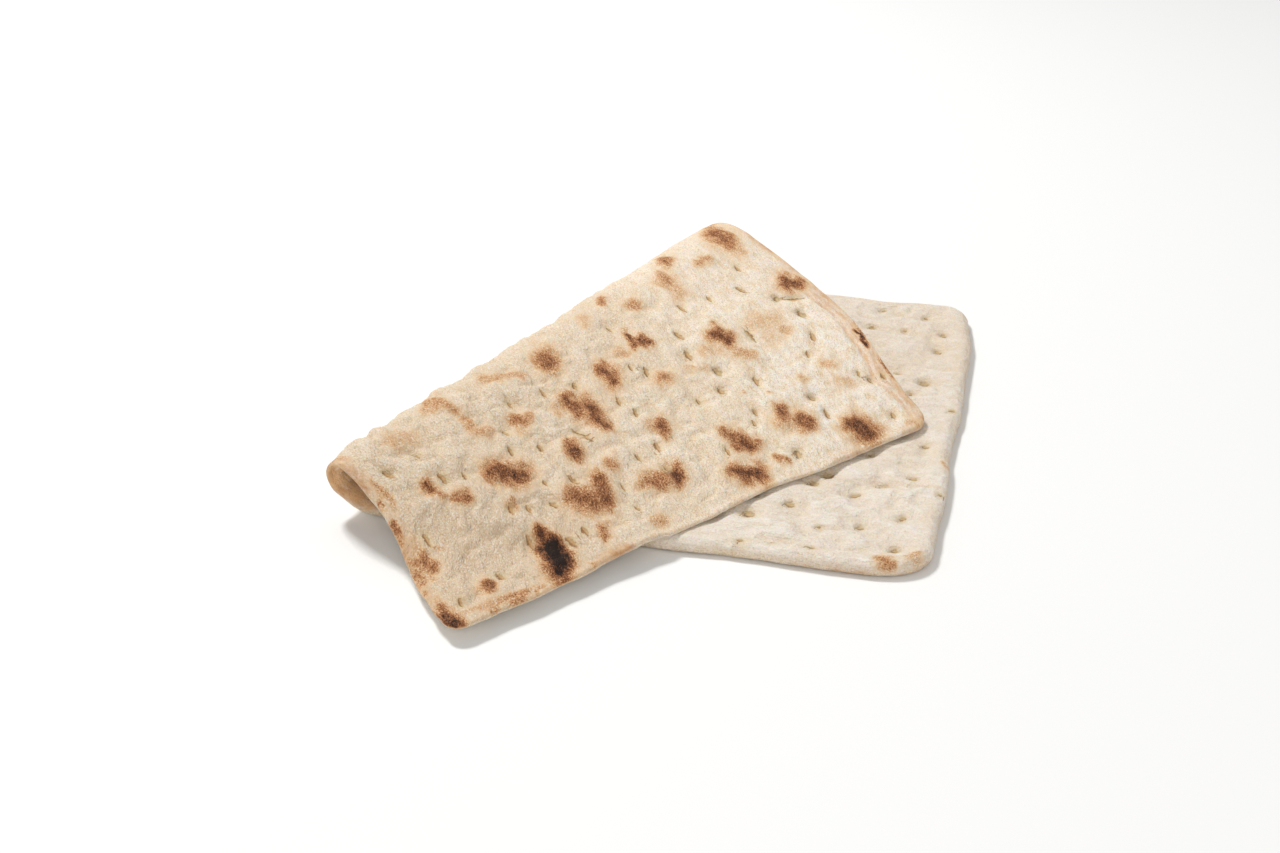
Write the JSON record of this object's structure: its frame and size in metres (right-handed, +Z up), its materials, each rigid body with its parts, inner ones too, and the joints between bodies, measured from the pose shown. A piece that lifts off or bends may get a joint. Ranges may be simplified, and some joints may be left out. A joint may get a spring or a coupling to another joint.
{
  "type": "sourdough flatbread",
  "caption": "Thin rectangular sourdough flatbread with docking holes, its end folded over on a slant so that the browned and scorched underside of the flap shows.",
  "frame": {"origin": "middle of the bounding box in plan, on the plane the bread rests on", "axes": "+X along the fold from its low front end to its high back end, +Y from the open side towards the fold, +Z up"},
  "size_m": [0.3902, 0.2382, 0.0562],
  "materials": {
    "bread": "matte baked dough, cream with brown scorch marks"
  },
  "bodies": {
    "root": {"flatbread": "bread"}
  },
  "joints": []
}
